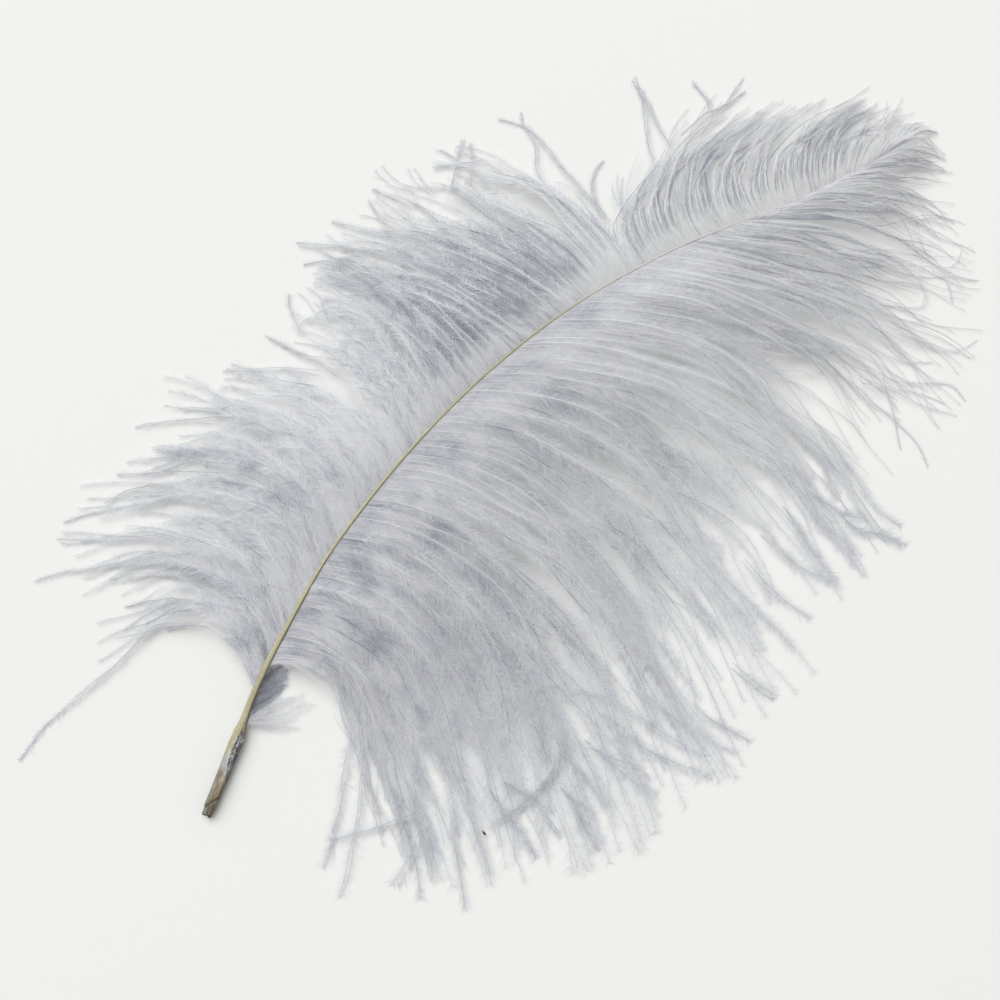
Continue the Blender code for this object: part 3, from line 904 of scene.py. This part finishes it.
def make_hairs(vanes, materials):
    """Bare hairs that lie across the barbs at a slant, most of them pale and some dark."""
    dice = np.random.default_rng(71)
    mesh = BarbMesh()
    for barbs in vanes:
        for i in dice.integers(0, np.sum(barbs.roots < LAST_HAIR), HAIRS[barbs.side]):
            start = dice.uniform(*HAIR_START)
            share = np.linspace(start, start + dice.uniform(*HAIR_STRETCH), HAIR_SAMPLES)
            path = point_at(barbs.paths[i], barbs.s[0], share)
            slant = np.linspace(-1, 1, HAIR_SAMPLES) * dice.normal(0, HAIR_SLANT)
            bow = np.sin(np.linspace(0, math.pi, HAIR_SAMPLES)) * dice.normal(0, HAIR_BOW)
            path[:, :2] += sideways(path[None])[0] * (slant + bow)[:, None]
            path[:, 2] += dice.uniform(*HAIR_LIFT)
            pale, dark = HAIR_TONES
            tone = pale if dice.random() < PALE_HAIRS else dark
            mesh.ramus(path, arc_lengths(path), np.full(HAIR_SAMPLES, tone), HAIR_RADIUS)
    mesh.finish("crossing_hairs", materials)


def smooth_route(points, heights):
    """A smooth path through plan points, falling from the first height to the second."""
    points = np.array(points, float)
    steps = arc_lengths(points)
    at = np.linspace(0, steps[-1], max(12, int(steps[-1] / 1.5)))
    plan = smooth_at(np.column_stack([steps, points]), at)
    fall = (1 - at / steps[-1]) ** 1.6
    return np.column_stack([plan, heights[1] + (heights[0] - heights[1]) * fall])


def make_strays(materials):
    dice = np.random.default_rng(31)
    mesh = BarbMesh()
    for group, routes in STRAYS.items():
        length, width, spacing, copies = STRAY_BARBULES[group]
        for points in routes * copies:
            tone, scatter = THICK_STRAND if group == "thick" else OTHER_STRAYS
            path = smooth_route(np.reshape(points, (-1, 2)) + dice.normal(0, scatter, 2), STRAY_HEIGHTS)
            path[:, 0] += STRAY_SWAY * wave(dice, arc_lengths(path), STRAY_WAVE)
            path[:, 1] += STRAY_SWAY * wave(dice, arc_lengths(path), STRAY_WAVE)
            tones = np.full(len(path), tone + 0.08 * dice.normal())
            # The ramus darker than the barbules: partly its own tone, partly a painted shadow line.
            line = np.full(len(path), tone - STRAY_LINE + 0.06 * dice.normal())
            mesh.barb(dice, path, tones, line, length, STRAY_RADIUS, width=width, spacing=spacing)
    mesh.finish("stray_barbs", materials)


def make_down(materials):
    dice = np.random.default_rng(41)
    mesh = BarbMesh()
    for first, last, fan, count, tone, length, spacing in DOWN:
        fan = np.array(fan)
        for share in np.linspace(0, 1, count):
            root = np.array(first) * (1 - share) + np.array(last) * share
            place = (1 - share) * (len(fan) - 1)
            tip = np.array([np.interp(place, np.arange(len(fan)), fan[:, i]) for i in (0, 1)])
            tip = root + (tip - root) * dice.uniform(*DOWN_REACH)
            middle = (root + tip) / 2 + dice.normal(0, DOWN_BEND, 2)
            path = smooth_route([root, middle, tip], DOWN_HEIGHTS)
            tones = np.full(len(path), tone + 0.05 * dice.normal())
            line = np.clip(tones - DOWN_LINE, 0, 1)
            mesh.barb(dice, path, np.clip(tones, 0, 1), line, length, DOWN_RADIUS, spacing=spacing)
    mesh.finish("down_tufts", materials)


def patch_noise(dice, x, y, size):
    """Smooth noise from -1 to 1 over places (x, y) of 0 and more, in patches of about the given size."""
    x, y = np.broadcast_arrays(x / size, y / size)
    grid = dice.uniform(-1, 1, (int(x.max()) + 2, int(y.max()) + 2))
    i, j = x.astype(int), y.astype(int)
    a, b = grow(x - i, 0, 1), grow(y - j, 0, 1)
    near = grid[i, j] * (1 - b) + grid[i, j + 1] * b
    far = grid[i + 1, j] * (1 - b) + grid[i + 1, j + 1] * b
    return near * (1 - a) + far * a


class Shaft:
    """The quill and rachis as rings of points, a row for each ring, with a colour for each point."""

    def __init__(self, dice):
        end = SHAFT_ROUTE[-1][0]
        quill = np.arange(0, QUILL_LENGTH, QUILL_STEP)
        outer = np.concatenate([quill, np.arange(QUILL_LENGTH, end, RACHIS_STEP), [end]])
        inner, shrink = np.array(CUT_RINGS).T
        self.at = np.concatenate([inner, outer])[:, None]
        self.scale = np.concatenate([shrink, np.ones(len(outer))])[:, None]
        self.angle = (np.arange(SHAFT_SIDES) * 2 * math.pi / SHAFT_SIDES)[None, :]
        # From -1 on the shaft's left edge to 1 on its right edge, and the way around it in millimetres.
        self.place = -np.cos(self.angle) * np.ones_like(self.at)
        self.around = self.angle * 2.0
        self.grain = patch_noise(dice, self.at / 12, self.around, 0.4)
        self.mottle = patch_noise(dice, self.at, self.around, 0.7)
        self.flecks = patch_noise(dice, self.at / 1.6, self.around, 0.35)
        self.streaks = patch_noise(dice, self.at / 4, self.around, 0.5)
        self.shape()
        self.colour()

    def shape(self):
        """The rings in the plan, with the opening, the crease and the pinched, ragged cut end."""
        top = grow(np.sin(self.angle), -0.5, -0.1)
        along, middle, half = np.array(OPENING).T
        half = np.interp(self.at, along, half, 0, 0) * (1 + 0.25 * self.mottle) + 1e-6
        gap = np.abs(self.place - np.interp(self.at, along, middle)) / half
        self.opening = top * fade(gap, 0.7, 1.05) * (self.scale == 1)
        self.floor_of_opening = self.opening * bell(gap, 0.4)
        self.rim = top * plateau(gap, 0.7, 0.95, 1.1, 1.5) * (self.at > along[0]) * (self.at < along[-1])
        self.rim = self.rim * (self.place < np.interp(self.at, along, middle))
        low, high = CREASE
        line = low + (high - low) * (self.place + 1) / 2
        self.crease = top * bell(self.at - line, CREASE_WIDTH) * (self.scale == 1)
        radius = linear_at(SHAFT_RADIUS, self.at) * self.scale
        sunken = self.opening * grow(np.sin(self.angle), 0.15, 0.6)
        radius = radius - OPENING_DEPTH * sunken * (0.8 + 0.4 * self.mottle) - CREASE_DEPTH * self.crease
        radius = radius + self.rim * RIM_HEIGHT * (1 + self.flecks)
        radius = radius + GRAIN_HEIGHT * self.grain * (self.at < QUILL_LENGTH)
        cut = fade(self.at, 0, PINCH_LENGTH)
        route = np.column_stack([self.at, smooth_at(SHAFT_ROUTE, self.at[:, 0])])
        centre = route.copy()
        centre[:, 1] -= QUILL_SHIFT * fade(self.at[:, 0], *QUILL_SHIFT_END)
        ahead = np.column_stack([self.at + 0.5, smooth_at(SHAFT_ROUTE, self.at[:, 0] + 0.5)])
        tangent = unit(ahead - route)
        tangent[-1] = tangent[-2]
        side = unit(np.cross((0.0, 0.0, 1.0), tangent))
        up = np.cross(tangent, side)
        ragged = RAGGED * cut**3 * self.mottle
        self.points = centre[:, None, :] + ragged[:, :, None] * tangent[:, None, :]
        self.points += (radius * np.cos(self.angle))[:, :, None] * side[:, None, :]
        self.points += (radius * np.sin(self.angle) * (1 - PINCH * cut))[:, :, None] * up[:, None, :]
        self.points[:, :, 2] = np.maximum(self.points[:, :, 2], 0.02)

    def colour(self):
        """Layers of colour, each over the ones before it: how much of it, and which."""
        at, place, grain, mottle, flecks = self.at, self.place, self.grain, self.mottle, self.flecks
        outer = grow(at, 185, 235)
        low = fade(at, 13, 17)
        end = fade(at + 1.2 * mottle, 0.4, 1.8)
        ochre = 0.35 - 0.05 * (at - 6)
        pale = bell(place - 0.2, 0.22) * (0.8 + 0.4 * flecks)
        layers = [
            (0.35 + 0.3 * grain + 0.35 * grow(at, 90, 200), OLIVE),
            (outer, PALE_GREY),
            (0.7 * bell(place - 0.25, 0.2) * (0.8 + 0.5 * grain), PALE_STREAK),
            (0.5 * fade(at, 38, 60) * (0.8 + 0.4 * grain), OLIVE),
            # Painted shade on the shaft's right side, away from the light, together with its darker edge.
            (grow(place, 0.45, 0.8) * (0.8 + 0.3 * grain) * (1 - 0.35 * outer), BROWN),
            # Painted shade on the shaft's left edge, up to its outer stretch.
            (0.6 * fade(place, -1.0, -0.75) * (1 - outer), OLIVE),
            (plateau(at, 12, 16, 19, 22) * (0.85 + 0.3 * mottle), GREY),
            # Painted shade on the quill's right side and left edge beside the opening.
            (0.8 * grow(place, 0.5, 0.9) * plateau(at, 12, 15, 24, 28), EDGE_AND_OPENING_SHADE),
            (0.6 * fade(place, -0.98, -0.7) * plateau(at, 10, 14, 23, 27), EDGE_AND_OPENING_SHADE),
            (low * (0.95 + 0.2 * grain), TAN),
            (low * (0.25 + 0.6 * grain), GREY),
            (low * (0.42 + 0.6 * self.streaks), BROWN),
            (0.6 * plateau(at, 4, 7, 12, 15) * bell(place - ochre, 0.3), OCHRE),
            (0.7 * plateau(at, 11, 13, 16, 19) * pale, PITH),
            # Painted shade on the lower quill's right side.
            (0.4 * low * grow(place, 0.5, 0.95), BROWN),
            (0.7 * self.rim * fade(at, 25, 28) * (0.7 + 0.6 * flecks), PITH),
            # Painted shade inside the opening, darkest where the hollow shows.
            (self.opening, EDGE_AND_OPENING_SHADE),
            (self.opening * grow(-self.streaks - 0.5 * mottle, -0.1, 0.8), HOLLOW_SHADE),
            (0.8 * self.opening * grow(self.streaks + 0.4 * flecks, 0.2, 0.8), PITH),
            (0.75 * self.floor_of_opening * (0.7 + 0.6 * mottle), PITH),
            # Painted shade in the crease.
            (self.crease, CUT_END_STAIN_AND_CREASE_SHADE),
            (end * (0.75 + 0.8 * flecks), CUT_END_STAIN_AND_CREASE_SHADE),
            (np.where(self.scale < 1, 0.9, 0.0), CUT_END_STAIN_AND_CREASE_SHADE),
            (end * grow(flecks + 0.4 * mottle, 0.35, 0.7), PITH),
        ]
        self.colours = np.ones(place.shape + (3,)) * np.array(CREAM)
        for mask, colour in layers:
            self.colours += np.clip(mask, 0, 1)[:, :, None] * (np.array(colour) - self.colours)


def shaft_material():
    """Horny keratin with a satin sheen: the points' colours, finely mottled and uneven."""
    material, shader = new_material("horn", roughness=0.42, shine=0.25)
    tree = material.node_tree
    link = tree.links.new
    mottle = noise(tree, Scale=1500.0, Detail=4.0, Roughness=0.65)
    mix = node(tree, "ShaderNodeMixRGB", Fac=1.0)
    mix.blend_type = "MULTIPLY"
    # The points' colours, with the shaft's painted shade in them.
    link(point_colours(tree, "quill_colour_and_shade"), mix.inputs["Color1"])
    link(colour_ramp(tree, mottle, 0.3, (0.72, 0.70, 0.66), 0.65, (1.0, 1.0, 1.0)), mix.inputs["Color2"])
    link(mix.outputs["Color"], shader.inputs["Base Color"])
    bump = node(tree, "ShaderNodeBump", Strength=0.5, Distance=0.0001)
    link(mottle, bump.inputs["Height"])
    link(bump.outputs["Normal"], shader.inputs["Normal"])
    return material


def make_shaft():
    shaft = Shaft(np.random.default_rng(51))
    rings, sides = shaft.place.shape
    k = np.arange(rings - 1)[:, None] * sides
    j = np.arange(sides)[None, :]
    following = (j + 1) % sides
    faces = np.stack([k + sides + j, k + sides + following, k + following, k + j], 2)
    faces = faces.reshape(-1, 4).tolist()
    faces.append(list(range(sides)))
    faces.append(list(range(rings * sides - 1, (rings - 1) * sides - 1, -1)))
    data = make_mesh("shaft", shaft.points.reshape(-1, 3), faces, [shaft_material()])
    # The points' colours, with painted shade on the shaft's sides, in its crease and in its opening.
    set_colours(data, "quill_colour_and_shade", "FLOAT_COLOR", np.clip(shaft.colours.reshape(-1, 3), 0, 1))
    data.shade_smooth()
    add_piece("shaft", data)


def in_frame(along, across, height):
    """A place in the frame from its millimetres in the plan."""
    return Vector((QUILL_END[0] + along, QUILL_END[1] + across, height)) * MM


def make_fleck():
    """A speck of dirt that has caught between the lower barbs."""
    mesh = bmesh.new()
    bmesh.ops.create_icosphere(mesh, subdivisions=2, radius=MM)
    dice = np.random.default_rng(61)
    turn = Matrix.Rotation(FLECK_TURN, 4, "Z")
    for vertex in mesh.verts:
        vertex.co *= dice.uniform(0.8, 1.2)
        vertex.co = turn @ Vector([vertex.co[i] * FLECK_RADII[i] for i in range(3)])
        vertex.co += in_frame(*FLECK)
    data = bpy.data.meshes.new("dirt_fleck")
    mesh.to_mesh(data)
    mesh.free()
    material, shader = new_material("dirt", roughness=0.8, shine=0.5)
    tree = material.node_tree
    grain = noise(tree, Scale=2500.0, Detail=2.0)
    colour = colour_ramp(tree, grain, 0.0, FLECK_COLOURS[0], 1.0, FLECK_COLOURS[1])
    tree.links.new(colour, shader.inputs["Base Color"])
    data.materials.append(material)
    add_piece("dirt_fleck", data)


def make_stage():
    bpy.ops.mesh.primitive_plane_add(size=FLOOR_SIZE, location=(0, 0, 0))
    floor = bpy.context.object
    floor.name = "floor"
    material, shader = new_material("floor", roughness=0.9, shine=0.1)
    shader.inputs["Base Color"].default_value = (*FLOOR_COLOUR, 1)
    floor.data.materials.append(material)
    world = bpy.data.worlds.new("world")
    bpy.context.scene.world = world
    world.use_nodes = True
    world.node_tree.nodes["Background"].inputs["Color"].default_value = (*SKY_COLOUR, 1)
    world.node_tree.nodes["Background"].inputs["Strength"].default_value = SKY_STRENGTH
    lamp_data = bpy.data.lights.new("window", "AREA")
    lamp_data.shape = "DISK"
    lamp_data.size = LAMP_SIZE
    lamp_data.energy = LAMP_ENERGY
    lamp = bpy.data.objects.new("window", lamp_data)
    bpy.context.scene.collection.objects.link(lamp)
    lamp.location = LAMP_PLACE
    lamp.rotation_euler = (-lamp.location).to_track_quat("-Z", "Y").to_euler()


def make_camera():
    camera_data = bpy.data.cameras.new("camera")
    camera_data.lens = CAMERA_LENS
    camera = bpy.data.objects.new("camera", camera_data)
    bpy.context.scene.collection.objects.link(camera)
    camera.location = in_frame(*VIEW_CENTRE, CAMERA_HEIGHT)
    camera.rotation_euler = (0, 0, math.radians(VIEW_TURN))
    bpy.context.scene.camera = camera
    bpy.context.scene.view_settings.view_transform = "Standard"


make_camera()
make_stage()
fibres = [
    fibre_material("barbules", BARBULE_COLOURS, roughness=0.65, see_through=0.4),
    fibre_material("rami", RAMUS_COLOURS, roughness=0.45, see_through=0.2),
]
make_hairs(make_vanes(fibres), fibres)
make_strays(fibres)
make_down(fibres)
make_shaft()
make_fleck()
